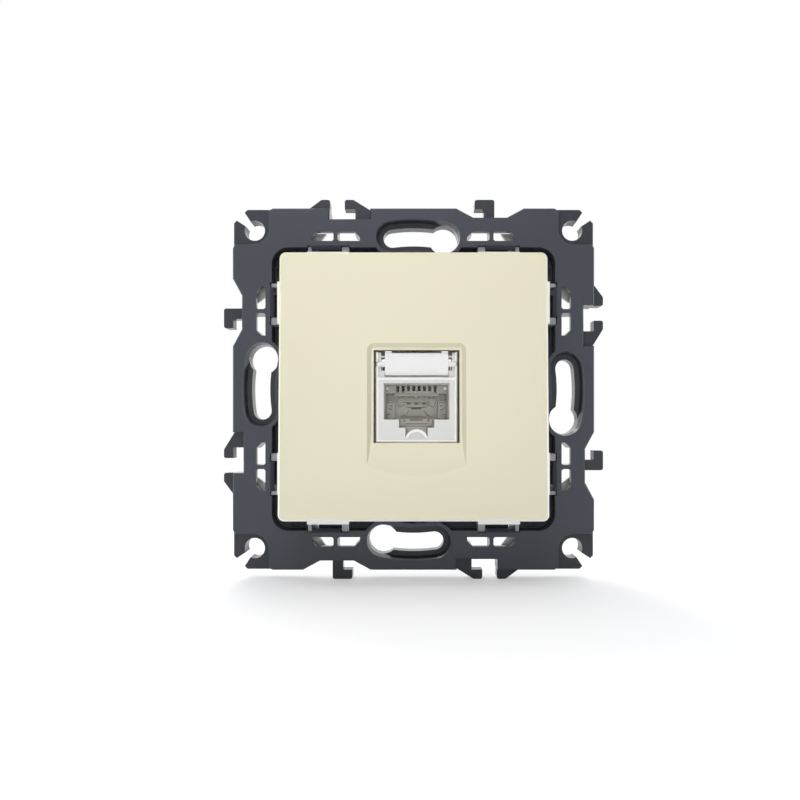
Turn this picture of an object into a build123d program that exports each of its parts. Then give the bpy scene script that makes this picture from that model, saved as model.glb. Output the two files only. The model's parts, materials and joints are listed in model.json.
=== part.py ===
from build123d import *
import os

# Flush telephone socket: an anthracite support frame, a snap-in carrier,
# an ivory faceplate and an eight-way jack with a rocker latch.
# Sizes are in millimetres. X runs to the right, Z up, and the front faces -Y.
# A depth is measured forward from the wall face of the support frame, so the
# plane at depth d is Plane.XZ.offset(d), and what lies inside the wall is negative.

# Support frame: a front skin on a rim, a window wall, keyhole blocks and ribs
frame_width = 71.0
frame_depth = 4.0
frame_edge_bevel = 0.25
skin_thickness = 1.0
rim_thickness = 1.2
frame_rib_thickness = 0.8
frame_rib_offset = 23.0
border_width = 7.7
window_corner = 3.25
window_wall = 1.25
lip_depth = 1.0
lip_slot_offset = 23.6
lip_slot_length = 1.6
lip_slot_width = 0.6
lip_slot_inset = 0.6
lip_slot_depth = 0.5

# Keyhole slots for the box screws
keyhole_inset = 5.15
entry_angle = 11.3
seat_angle = 7.9
entry_diameter = 5.75
slot_width = 3.6
recess_width = 6.4
recess_depth = 1.8
recess_draft = 13.0
boss_wall = 0.75

# Corner lugs with their open round holes
lug_front = 3.0
corner_hole_inset = 4.1
corner_hole_diameter = 4.0
pocket_wall = 0.9
pocket_slant = 0.8
mouth_inner_width = 1.4
mouth_outer_width = 2.2
mouth_inner_reach = 2.0
mouth_outer_reach = 3.92
lug_tip_length = 3.2

# Side couplings that join neighbouring frames
coupling_reach = 2.0
coupling_back = 0.9
recess_floor_depth = 1.8
recess_middle = 15.05
recess_floor_width = 6.65
recess_mouth_width = 13.3
hook_outer_side = 16.0
hook_stem_width = 2.05
hook_head_width = 3.9
hook_head_height = 1.85
hook_round = 0.45
notch_floor_depth = 2.1
notch_middle = 14.0
notch_width = 5.0
notch_pocket_width = 3.0
notch_hook_reach = 2.1
notch_ramp = 3.4
lobe_flat = 1.7
lobe_ramp = 2.7

# Small slots beside the keyholes
side_slot_middle = 15.3
side_slot_gap = 0.8
side_slot_length = 4.4
side_slot_width = 1.8
side_slot_slant = 1.1
side_slot_bevel = 0.3

# Clip notches in the window wall, each with a ramp between the carrier's two ribs
clip_middle = 16.4
clip_width = 8.0
clip_shift = 0.35
clip_notch_margin = 0.15
clip_notch_depth = 0.35
clip_clearance = 0.1
ramp_reach = 0.7

# Carrier
carrier_gap = 2.3
carrier_corner = 1.6
carrier_clearance = 0.3
carrier_wall = 1.6
flange_front = 6.6
flange_thickness = 2.0
skirt_back = -2.4
tab_reach = 0.6
tab_thickness = 1.2
seat_rib_width = 1.4
arm_rib_width = 0.7
clip_rib_front = 3.4
arm_width = 1.5
arm_thickness = 0.8
arm_overlap = 0.6
arm_head_slant = 1.1
arm_slit = 0.6
sleeve_wall = 1.4
sleeve_back = -2.0
sleeve_headroom = 1.4
rib_thickness = 1.2

# Faceplate
plate_gap = 3.4
plate_corner = 1.15
plate_rise_top = 12.5
plate_rise_bottom = 14.0
plate_edge_bevel = 0.45
plate_edge_depth = 0.8
plate_wall = 1.6
leg_inset = 2.9
leg_spread = 12.0
leg_width = 4.0
leg_thickness = 1.2
leg_hook = 0.6
leg_clearance = 0.3

# Surround: the sunk field round the jack, with its scoop at the bottom
surround_sink = 0.55
surround_floor_width = 16.4
surround_top = 7.0
surround_draft = 52.0
surround_corner = 0.5
scoop_radius = 21.0
scoop_start = 15.0
scoop_bottom = -16.2
scoop_margin = 1.0

# Jack
jack_middle = 0.56
jack_width = 14.7
jack_top = 6.09
jack_bottom = -10.25
jack_face = 12.74
jack_back = -3.0
aperture_side_gap = 0.42
aperture_bottom_gap = 0.06
aperture_top_gap = 0.42
jack_edge_bevel = 0.25
face_border = 0.45
face_sink = 0.12
foot_width = 7.8
port_width = 11.9
port_top = 0.55
port_bottom = -6.08
key_width = 6.44
key_bottom = -7.56
tongue_width = 4.06
tongue_bottom = -9.4
key_back = 3.0
moon_radius = 2.1
moon_rim = 0.45
moon_sink = 0.25
moon_thickness = 0.7
moon_setback = 0.25
moon_foot = 0.3
bar_top = 1.58
cheek_width = 0.89
cheek_border = 0.4
cheek_setback = 0.9
cheek_back = 8.6
web_clearance = 0.1
lower_web_top = 2.85
upper_web_bottom = 5.25
upper_web_top = 5.5
stop_height = 0.9
stop_thickness = 1.2
catch_height = 0.65
catch_length = 1.1

# Rocker latch on its two pins
latch_width = 11.42
latch_bottom = 1.94
latch_top = 5.92
latch_front = 12.88
latch_thickness = 1.7
latch_bevel = 0.5
latch_field_border = 0.5
latch_field_sink = 0.12
pivot_height = 3.96
pivot_depth = 12.0
pin_diameter = 1.0
pin_clearance = 0.05
pin_end_gap = 0.2
pin_snap_width = 0.85
latch_bump_width = 1.2
latch_bump_height = 0.41
tail_width = 7.0
tail_thickness = 1.2
tail_bottom = 4.3
hook_top = 7.0
hook_length = 1.2
hook_gap = 0.15

# Contact insert and contact wires
contact_count = 8
contact_pitch = 1.016
wire_width = 0.46
wire_thickness = 0.35
wire_clearance = 0.05
wire_height = -0.15
wire_apex = 7.7
wire_tail_depth = 1.6
wire_tail_height = -1.35
wire_bend = 0.45
wire_end_behind = 0.6
insert_clearance = 0.05
insert_front = 0.6
comb_front = 7.04
comb_depth = 1.1
comb_bottom = -1.05
comb_slot = 0.58
comb_roof = 0.12
toe_top = -5.25
toe_slope = 0.65
toe_thickness = 1.2
side_bar_width = 1.2
post_width = 1.6
post_top = -2.3
post_bottom = -5.9
post_depth = 1.6

# Circuit board, punch-down block and its contacts
board_thickness = 1.6
board_side_margin = 0.35
board_top = 6.0
block_side_margin = 0.15
block_base = 2.4
tower_depth = 9.0
tower_width = 4.4
tower_offset = 5.0
solder_relief = 1.0
wire_slot_count = 4
wire_slot_pitch = 3.7
wire_slot_middle = -2.0
wire_slot_width = 0.9
wire_slot_depth = 5.6
blade_thickness = 0.5
blade_width = 2.4
blade_length = 6.4
blade_slit = 0.3
blade_slit_length = 3.6
blade_clearance = 0.05
blade_pin_width = 0.6
cap_clearance = 0.1
cap_wall = 0.8
cap_roof = 1.0
cap_skirt = 3.6
cap_margin = 0.3
cap_rib_clearance = 0.1
cap_rib_length = 2.2

# Places worked out from the sizes above
half_frame = frame_width / 2
keyhole_radius = half_frame - keyhole_inset
corner_hole_offset = half_frame - corner_hole_inset
window_width = frame_width - 2 * border_width
half_window = window_width / 2
carrier_width = window_width - 2 * carrier_gap
carrier_half = carrier_width / 2
plate_width = window_width - 2 * plate_gap
leg_offset = plate_width / 2 - leg_inset
lip_opening = carrier_width + 2 * carrier_clearance
side_slot_inner = half_window + window_wall
side_slot_outer = side_slot_inner + side_slot_width
notch_wall = half_window + clip_notch_depth
notch_start = clip_middle + clip_shift - clip_width / 2 - clip_notch_margin
notch_end = clip_middle + clip_shift + clip_width / 2 + clip_notch_margin
seat_rib_middle = notch_start + clip_clearance + seat_rib_width / 2
arm_outer_side = notch_end - clip_clearance
arm_middle = arm_outer_side - arm_width / 2
ramp_start = notch_start + 2 * clip_clearance + seat_rib_width
ramp_end = notch_end - 2 * clip_clearance - arm_rib_width
flange_back = flange_front - flange_thickness
board_front = jack_back
board_back = board_front - board_thickness
block_back = board_back - block_base - tower_depth
side_turns = [Location((0, 0, 0), (0, turn, 0)) for turn in (0, 90, 180, 270)]
contact_places = [
    jack_middle + (number - (contact_count - 1) / 2) * contact_pitch for number in range(contact_count)
]
slot_heights = [
    wire_slot_middle + (number - (wire_slot_count - 1) / 2) * wire_slot_pitch
    for number in range(wire_slot_count)
]

os.makedirs("parts", exist_ok=True)


# Profiles of the frame's side, drawn for the top side: X along it, Y outward.
def pads_on_each_side(offset, width, inner, outer):
    """Two rectangles on each of the four sides, offset from the side's middle."""
    with BuildSketch() as pads:
        with PolarLocations(0, 4):
            with Locations((-offset, (inner + outer) / 2), (offset, (inner + outer) / 2)):
                Rectangle(width, outer - inner)
    return pads.sketch


with BuildSketch() as coupling_recess:
    recess_floor = half_frame - recess_floor_depth
    Polygon(
        (recess_middle - recess_mouth_width / 2, half_frame + 1),
        (recess_middle - recess_mouth_width / 2, half_frame),
        (recess_middle - recess_floor_width / 2, recess_floor),
        (recess_middle + recess_floor_width / 2, recess_floor),
        (recess_middle + recess_mouth_width / 2, half_frame),
        (recess_middle + recess_mouth_width / 2, half_frame + 1),
        align=None,
    )

with BuildSketch() as coupling_hook:
    head_start = hook_outer_side - hook_head_width
    stem_start = hook_outer_side - hook_stem_width
    hook_tip = half_frame + coupling_reach
    head_floor = hook_tip - hook_head_height
    Polygon(
        (stem_start, recess_floor - 1),
        (stem_start, head_floor),
        (head_start, head_floor),
        (head_start, hook_tip),
        (hook_outer_side, hook_tip),
        (hook_outer_side, recess_floor - 1),
        align=None,
    )
    fillet(coupling_hook.vertices().group_by(Axis.Y)[-1], hook_round)

with BuildSketch() as coupling_notch:
    notch_floor = half_frame - notch_floor_depth
    notch_outer = -notch_middle - notch_width / 2
    notch_inner = -notch_middle + notch_width / 2
    pocket_end = notch_inner + notch_pocket_width
    Polygon(
        (notch_outer, half_frame + 1),
        (notch_outer, notch_floor),
        (pocket_end, notch_floor),
        (pocket_end, half_frame + 1),
        align=None,
    )

with BuildSketch() as notch_hook:
    Polygon(
        (pocket_end, notch_floor - 1),
        (pocket_end, half_frame - 0.1),
        (pocket_end - notch_ramp, hook_tip),
        (notch_inner - notch_hook_reach, hook_tip),
        (notch_inner - notch_hook_reach, head_floor),
        (notch_inner, head_floor),
        (notch_inner, notch_floor - 1),
        align=None,
    )
    fillet(notch_hook.vertices().group_by(Axis.Y)[-1], hook_round)

with BuildSketch() as notch_lobe:
    Polygon(
        (notch_outer, half_frame - 1),
        (notch_outer, hook_tip),
        (notch_outer - lobe_flat, hook_tip),
        (notch_outer - lobe_flat - lobe_ramp, half_frame),
        (notch_outer - lobe_flat - lobe_ramp, half_frame - 1),
        align=None,
    )
    fillet(notch_lobe.vertices().group_by(Axis.Y)[-1], hook_round)

# The corner hole and the mouth that opens it toward the corner of the frame.
with BuildSketch(Plane.XY.rotated((0, 0, 45))) as corner_mouth:
    hole_reach = corner_hole_offset * 2**0.5
    tip_reach = hole_reach + mouth_outer_reach
    with Locations((hole_reach, 0)):
        Circle(corner_hole_diameter / 2)
    Polygon(
        (hole_reach, 0),
        (hole_reach + mouth_inner_reach, mouth_inner_width / 2),
        (tip_reach, mouth_outer_width / 2),
        (tip_reach, lug_tip_length * 0.6),
        (tip_reach + 6, lug_tip_length * 0.6 + 6),
        (tip_reach + 6, -lug_tip_length * 0.6 - 6),
        (tip_reach, -lug_tip_length * 0.6),
        (tip_reach, -mouth_outer_width / 2),
        (hole_reach + mouth_inner_reach, -mouth_inner_width / 2),
        align=None,
    )

# The front skin is cut back over each lug, round the hole.
with BuildSketch() as corner_pocket:
    pocket_side = corner_hole_offset - corner_hole_diameter / 2 - pocket_wall
    pocket_far = half_frame + 1
    Polygon(
        (pocket_side, pocket_side),
        (half_frame - pocket_slant * 0.6, pocket_side),
        (half_frame, pocket_side - pocket_slant),
        (pocket_far, pocket_side - pocket_slant),
        (pocket_far, pocket_far),
        (pocket_side - pocket_slant, pocket_far),
        (pocket_side - pocket_slant, half_frame),
        (pocket_side, half_frame - pocket_slant * 0.6),
        align=None,
    )
    fillet(corner_pocket.vertices().sort_by_distance((0, 0))[0], corner_hole_diameter / 2 + pocket_wall)

keyhole_arc = CenterArc((0, 0), keyhole_radius, 90 - entry_angle, entry_angle + seat_angle)

with BuildSketch() as keyhole_boss:
    SlotArc(arc=keyhole_arc, height=recess_width + 2 * boss_wall)

with BuildSketch() as keyhole_recess:
    SlotArc(arc=keyhole_arc, height=recess_width)

with BuildSketch() as keyhole_slot:
    SlotArc(arc=keyhole_arc, height=slot_width)
    with Locations(keyhole_arc @ 0):
        Circle(entry_diameter / 2)

# One pair of small slots beside the keyhole block
side_slot_start = side_slot_middle - side_slot_gap / 2
side_slot_end = side_slot_middle + side_slot_gap / 2

with BuildSketch() as inner_side_slot:
    Polygon(
        (side_slot_start, side_slot_inner),
        (side_slot_start, side_slot_outer),
        (side_slot_start - side_slot_length + side_slot_slant, side_slot_outer),
        (side_slot_start - side_slot_length, side_slot_outer - side_slot_slant),
        (side_slot_start - side_slot_length, side_slot_inner),
        align=None,
    )
    chamfer(inner_side_slot.vertices().group_by(Axis.X)[-1], side_slot_bevel)

with BuildSketch() as outer_side_slot:
    Polygon(
        (side_slot_end, side_slot_inner),
        (side_slot_end, side_slot_outer),
        (side_slot_end + side_slot_length - side_slot_slant, side_slot_outer),
        (side_slot_end + side_slot_length, side_slot_outer - side_slot_slant),
        (side_slot_end + side_slot_length, side_slot_inner),
        align=None,
    )
    chamfer(outer_side_slot.vertices().group_by(Axis.X)[0], side_slot_bevel)

with BuildSketch() as frame_outline:
    Rectangle(frame_width, frame_width)
    with PolarLocations(0, 4):
        add(coupling_recess.sketch, mode=Mode.SUBTRACT)
        add(coupling_notch.sketch, mode=Mode.SUBTRACT)

# The hollow behind the skin leaves the rim, the window wall, a block round each keyhole,
# the corner lugs, and ribs between the small slots and beside them.
with BuildSketch() as back_hollow:
    add(offset(frame_outline.sketch, amount=-rim_thickness, kind=Kind.INTERSECTION, mode=Mode.PRIVATE))
    walled_window = window_width + 2 * window_wall
    RectangleRounded(walled_window, walled_window, window_corner + window_wall, mode=Mode.SUBTRACT)
    block_half_width = side_slot_start - side_slot_length + side_slot_slant
    lug_start = corner_hole_offset - corner_hole_diameter / 2 - pocket_wall - rim_thickness
    lug_middle = (lug_start + half_frame) / 2
    rib_height = (half_window + half_frame) / 2
    rib_length = half_frame - half_window
    with PolarLocations(0, 4):
        with Locations((0, rib_height)):
            Rectangle(2 * block_half_width, rib_length, mode=Mode.SUBTRACT)
        with Locations((lug_middle, lug_middle)):
            Rectangle(half_frame - lug_start, half_frame - lug_start, mode=Mode.SUBTRACT)
        with Locations((-side_slot_middle, rib_height), (side_slot_middle, rib_height)):
            Rectangle(side_slot_gap, rib_length, mode=Mode.SUBTRACT)
        with Locations((-frame_rib_offset, rib_height), (frame_rib_offset, rib_height)):
            Rectangle(frame_rib_thickness, rib_length, mode=Mode.SUBTRACT)

# One ramp at the middle of the top side, between the notch wall and the lip.
with BuildPart() as clip_ramp:
    ramp_length = ramp_end - ramp_start
    ramp_face = notch_wall - ramp_reach
    ramp_root = half_window + window_wall - clip_clearance
    with BuildSketch(Plane.YZ.offset(-ramp_length / 2)):
        Polygon(
            (-lip_depth, ramp_face),
            (-frame_depth + ramp_reach, ramp_face),
            (-frame_depth, notch_wall),
            (-frame_depth, ramp_root),
            (-lip_depth, ramp_root),
            align=None,
        )
    extrude(amount=ramp_length)

# Support frame
with BuildPart() as support_frame:
    with BuildSketch(Plane.XZ):
        add(frame_outline.sketch)
        with PolarLocations(0, 4):
            add(corner_mouth.sketch, mode=Mode.SUBTRACT)
    extrude(amount=frame_depth)
    with BuildSketch(Plane.XZ.offset(lug_front)):
        with PolarLocations(0, 4):
            add(corner_pocket.sketch)
    extrude(amount=frame_depth, mode=Mode.SUBTRACT)
    front_edges = support_frame.faces().sort_by(Axis.Y)[0].outer_wire().edges()
    chamfer(front_edges, frame_edge_bevel)
    with BuildSketch(Plane.XZ):
        add(back_hollow.sketch)
    extrude(amount=frame_depth - skin_thickness, mode=Mode.SUBTRACT)
    with BuildSketch(Plane.XZ.offset(coupling_back)):
        with PolarLocations(0, 4):
            add(coupling_hook.sketch)
            add(notch_hook.sketch)
            add(notch_lobe.sketch)
    extrude(amount=lug_front - coupling_back)
    with BuildSketch(Plane.XZ.offset(lip_depth)):
        RectangleRounded(window_width, window_width, window_corner)
        notch_middle_offset = (notch_start + notch_end) / 2
        add(pads_on_each_side(notch_middle_offset, notch_end - notch_start, half_window - 1, notch_wall))
    extrude(amount=frame_depth, mode=Mode.SUBTRACT)
    with Locations(*side_turns):
        ramp_offset = (ramp_start + ramp_end) / 2
        with Locations((-ramp_offset, 0, 0), (ramp_offset, 0, 0)):
            add(clip_ramp.part)
    with BuildSketch(Plane.XZ):
        with PolarLocations(0, 4):
            add(keyhole_boss.sketch)
    extrude(amount=frame_depth)
    with BuildSketch(Plane.XZ):
        RectangleRounded(lip_opening, lip_opening, carrier_corner + carrier_clearance)
        with PolarLocations(0, 4):
            add(keyhole_slot.sketch)
            add(inner_side_slot.sketch)
            add(outer_side_slot.sketch)
            add(mirror(inner_side_slot.sketch, about=Plane.YZ, mode=Mode.PRIVATE))
            add(mirror(outer_side_slot.sketch, about=Plane.YZ, mode=Mode.PRIVATE))
    extrude(amount=frame_depth, mode=Mode.SUBTRACT)
    with BuildSketch(Plane.XZ.offset(frame_depth)):
        with PolarLocations(0, 4):
            add(keyhole_recess.sketch)
    extrude(amount=-recess_depth, taper=recess_draft, mode=Mode.SUBTRACT)
    with BuildSketch(Plane.XZ):
        arm_notch_width = arm_width + 4 * clip_clearance
        add(pads_on_each_side(arm_middle, arm_notch_width, carrier_half, side_slot_inner + clip_clearance))
    extrude(amount=lip_depth, mode=Mode.SUBTRACT)
    with BuildSketch(Plane.XZ.offset(lip_depth)):
        lip_slot_middle = half_window - lip_slot_inset
        lip_slot_inner = lip_slot_middle - lip_slot_width / 2
        lip_slot_outer = lip_slot_middle + lip_slot_width / 2
        add(pads_on_each_side(lip_slot_offset, lip_slot_length, lip_slot_inner, lip_slot_outer))
    extrude(amount=-lip_slot_depth, mode=Mode.SUBTRACT)
support_frame.part.label = "support_frame"
export_step(support_frame.part, "parts/support_frame.step")

# One of the carrier's arms: it passes under the window wall, and its barbed head
# lies behind the outer small slot, where a screwdriver can reach it.
with BuildSketch() as carrier_arm:
    arm_inner_side = arm_outer_side - arm_width
    arm_tip = side_slot_outer + arm_overlap
    Polygon(
        (arm_outer_side, carrier_half - carrier_wall / 2),
        (arm_outer_side, arm_tip),
        (arm_inner_side - arm_head_slant - arm_overlap, arm_tip),
        (arm_inner_side, side_slot_inner + clip_clearance),
        (arm_inner_side, carrier_half - carrier_wall / 2),
        align=None,
    )

# The carrier is pressed in from behind. Its arms stop under the window wall,
# its seat ribs rest on the lip, and its sleeve holds the jack.
catch_top = hook_top - 0.7
sleeve_top = hook_top + sleeve_headroom
sleeve_bottom = jack_bottom - catch_height - leg_clearance
sleeve_width = jack_width + carrier_clearance
flange_hole_bottom = jack_bottom - carrier_clearance / 2

with BuildPart() as carrier:
    with BuildSketch(Plane.XZ.offset(skirt_back)):
        RectangleRounded(carrier_width, carrier_width, carrier_corner)
    extrude(amount=flange_front - skirt_back)
    with BuildSketch(Plane.XZ.offset(skirt_back)):
        inner_width = carrier_width - 2 * carrier_wall
        RectangleRounded(inner_width, inner_width, carrier_corner / 2)
    extrude(amount=flange_back - skirt_back, mode=Mode.SUBTRACT)
    with BuildSketch(Plane.XZ.offset(sleeve_back)):
        with Locations((jack_middle, (sleeve_top + sleeve_bottom) / 2)):
            Rectangle(sleeve_width + 2 * sleeve_wall, sleeve_top - sleeve_bottom + 2 * sleeve_wall)
    extrude(amount=flange_back - sleeve_back)
    with BuildSketch(Plane.XZ.offset(0)):
        Rectangle(carrier_width - carrier_wall, rib_thickness)
        with Locations((jack_middle, 0)):
            Rectangle(rib_thickness, carrier_width - carrier_wall)
    extrude(amount=flange_back)
    with BuildSketch(Plane.XZ.offset(skirt_back)):
        with Locations((jack_middle, (sleeve_top + sleeve_bottom) / 2)):
            Rectangle(sleeve_width, sleeve_top - sleeve_bottom)
    extrude(amount=flange_back - skirt_back, mode=Mode.SUBTRACT)
    with BuildSketch(Plane.XZ.offset(flange_back)):
        with Locations((jack_middle, (catch_top + flange_hole_bottom) / 2)):
            Rectangle(sleeve_width, catch_top - flange_hole_bottom)
    extrude(amount=flange_thickness, mode=Mode.SUBTRACT)
    rib_root = carrier_half - carrier_wall / 2
    rib_tip = notch_wall - clip_clearance
    with BuildSketch(Plane.XZ.offset(lip_depth)):
        add(pads_on_each_side(seat_rib_middle, seat_rib_width, rib_root, rib_tip))
    extrude(amount=clip_rib_front - lip_depth)
    with BuildSketch(Plane.XZ.offset(flange_front - tab_thickness)):
        add(pads_on_each_side(clip_middle, clip_width, rib_root, carrier_half + tab_reach))
    extrude(amount=tab_thickness)
    with BuildSketch(Plane.XZ.offset(skirt_back)):
        for slit_side in (-1, 1):
            slit_offset = arm_middle + slit_side * (arm_width + arm_slit) / 2
            slit_inner = carrier_half - carrier_wall - 1
            add(pads_on_each_side(slit_offset, arm_slit, slit_inner, carrier_half + 1))
    extrude(amount=lip_depth - skirt_back, mode=Mode.SUBTRACT)
    arm_front = lip_depth - clip_clearance
    with BuildSketch(Plane.XZ.offset(arm_front - arm_thickness)):
        with PolarLocations(0, 4):
            add(carrier_arm.sketch)
            add(mirror(carrier_arm.sketch, about=Plane.YZ, mode=Mode.PRIVATE))
    extrude(amount=arm_thickness)
    with BuildSketch(Plane.XZ.offset(arm_front - arm_thickness)):
        arm_rib_middle = arm_outer_side - arm_rib_width / 2
        add(pads_on_each_side(arm_rib_middle, arm_rib_width, rib_root, rib_tip))
    extrude(amount=clip_rib_front - arm_front + arm_thickness)
    with BuildSketch(Plane.XZ.offset(flange_back)):
        with GridLocations(2 * leg_offset, 2 * leg_spread, 2, 2):
            Rectangle(leg_thickness + 2 * leg_clearance, leg_width + 2 * leg_clearance)
    extrude(amount=flange_thickness, mode=Mode.SUBTRACT)
carrier.part.label = "carrier"
export_step(carrier.part, "parts/carrier.step")

# The front of the faceplate leans: it stands further out at the bottom.
plate_slope = (plate_rise_bottom - plate_rise_top) / plate_width
plate_middle_rise = (plate_rise_bottom + plate_rise_top) / 2
plate_front = Plane(origin=(0, -plate_middle_rise, 0), x_dir=(1, 0, 0), z_dir=(0, -1, plate_slope))
plate_inner_front = plate_front.offset(-plate_wall)
plate_reach = plate_rise_bottom + 3

with BuildPart() as plate_hollow:
    with BuildSketch(Plane.XZ.offset(flange_front)):
        hollow_width = plate_width - 2 * plate_wall
        RectangleRounded(hollow_width, hollow_width, plate_corner / 2)
    extrude(amount=plate_reach - flange_front)
    split(bisect_by=plate_inner_front, keep=Keep.BOTTOM)

# Tool for the sunk surround: a drafted prism limited by a dish with a curved edge.
# It is drawn with the plate's front at depth zero, and then leans with the plate.
with BuildPart() as surround_tool:
    with BuildSketch(Plane.XZ.offset(-surround_sink)):
        surround_height = surround_top - scoop_bottom + scoop_margin
        with Locations((jack_middle, surround_top - surround_height / 2)):
            RectangleRounded(surround_floor_width, surround_height, surround_corner)
    extrude(amount=surround_sink + scoop_margin, taper=-surround_draft)
    dish_axis = Axis((jack_middle, 0, scoop_bottom + scoop_radius), (0, 1, 0))
    with BuildSketch(Plane.XY.offset(scoop_bottom + scoop_radius)):
        with BuildLine():
            floor_end = (jack_middle + scoop_start, surround_sink)
            dish_edge = (jack_middle + scoop_radius, 0)
            Polyline((jack_middle, -scoop_margin), (jack_middle, surround_sink), floor_end)
            dish_arc = TangentArc(floor_end, dish_edge, tangent=(1, 0))
            dish_rim = dish_arc @ 1 + (dish_arc % 1) * 2 * scoop_margin
            Polyline(dish_arc @ 1, dish_rim, (jack_middle, dish_rim.Y), (jack_middle, -scoop_margin))
        make_face()
    revolve(axis=dish_axis, mode=Mode.INTERSECT)
plate_lean = plate_front.location * Plane.XZ.location.inverse()

with BuildPart() as faceplate:
    with BuildSketch(Plane.XZ.offset(flange_front)):
        RectangleRounded(plate_width, plate_width, plate_corner)
    extrude(amount=plate_reach - flange_front)
    split(bisect_by=plate_front, keep=Keep.BOTTOM)
    plate_face = faceplate.faces().sort_by(Axis.Y)[0]
    plate_edges = plate_face.outer_wire().edges()
    chamfer(plate_edges, plate_edge_bevel, plate_edge_depth, reference=plate_face)
    add(plate_hollow.part, mode=Mode.SUBTRACT)
    for leg_side in (-1, 1):
        for leg_height in (-leg_spread, leg_spread):
            with BuildSketch(Plane.XY.offset(leg_height - leg_width / 2)):
                leg_inner = leg_side * (leg_offset - leg_thickness / 2)
                leg_outer = leg_side * (leg_offset + leg_thickness / 2)
                leg_catch = leg_outer + leg_side * leg_hook
                leg_root = plate_middle_rise - plate_wall / 2
                Polygon(
                    (leg_inner, -leg_root),
                    (leg_outer, -leg_root),
                    (leg_outer, -flange_back),
                    (leg_catch, -flange_back),
                    (leg_outer, -flange_back + 2 * leg_hook),
                    (leg_inner, -flange_back + 2 * leg_hook),
                    align=None,
                )
            extrude(amount=leg_width)
    add(surround_tool.part.moved(plate_lean), mode=Mode.SUBTRACT)
    with BuildSketch(Plane.XZ.offset(flange_front)):
        aperture_top = jack_top + aperture_top_gap
        aperture_bottom = jack_bottom - aperture_bottom_gap
        with Locations((jack_middle, (aperture_top + aperture_bottom) / 2)):
            Rectangle(jack_width + 2 * aperture_side_gap, aperture_top - aperture_bottom)
    extrude(amount=plate_reach - flange_front, mode=Mode.SUBTRACT)
faceplate.part.label = "faceplate"
export_step(faceplate.part, "parts/faceplate.step")

# Jack housing: the port with its stepped key way, and the cheeks that hold the latch.
jack_half = jack_width / 2
cheek_inner = jack_half - cheek_width
latch_back = latch_front - latch_thickness

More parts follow.
